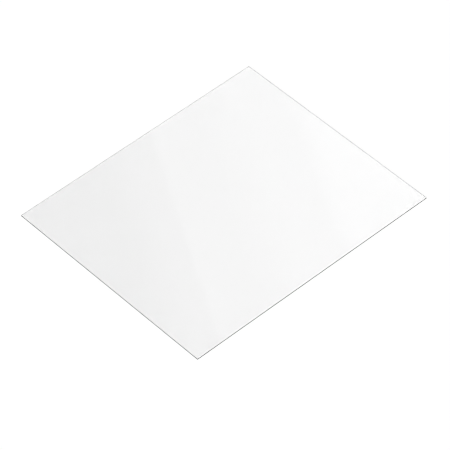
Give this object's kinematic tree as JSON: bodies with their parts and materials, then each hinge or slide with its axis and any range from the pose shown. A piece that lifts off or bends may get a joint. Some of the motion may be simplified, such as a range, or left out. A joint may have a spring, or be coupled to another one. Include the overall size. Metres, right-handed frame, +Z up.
{
  "type": "petg sheet",
  "caption": "Flat rectangular sheet of clear PETG plastic with straight sawn edges, for glazing, covers, guards and thermoforming.",
  "frame": {"origin": "under the middle of the sheet, on the plane that it lies on", "axes": "+X along the long side, +Y along the short side, +Z up through the thickness"},
  "size_m": [0.3048, 0.254, 0.001],
  "materials": {
    "clear_petg": "clear, with gloss faces and satin sawn edges"
  },
  "bodies": {
    "root": {"petg_sheet": "clear_petg"}
  },
  "joints": []
}
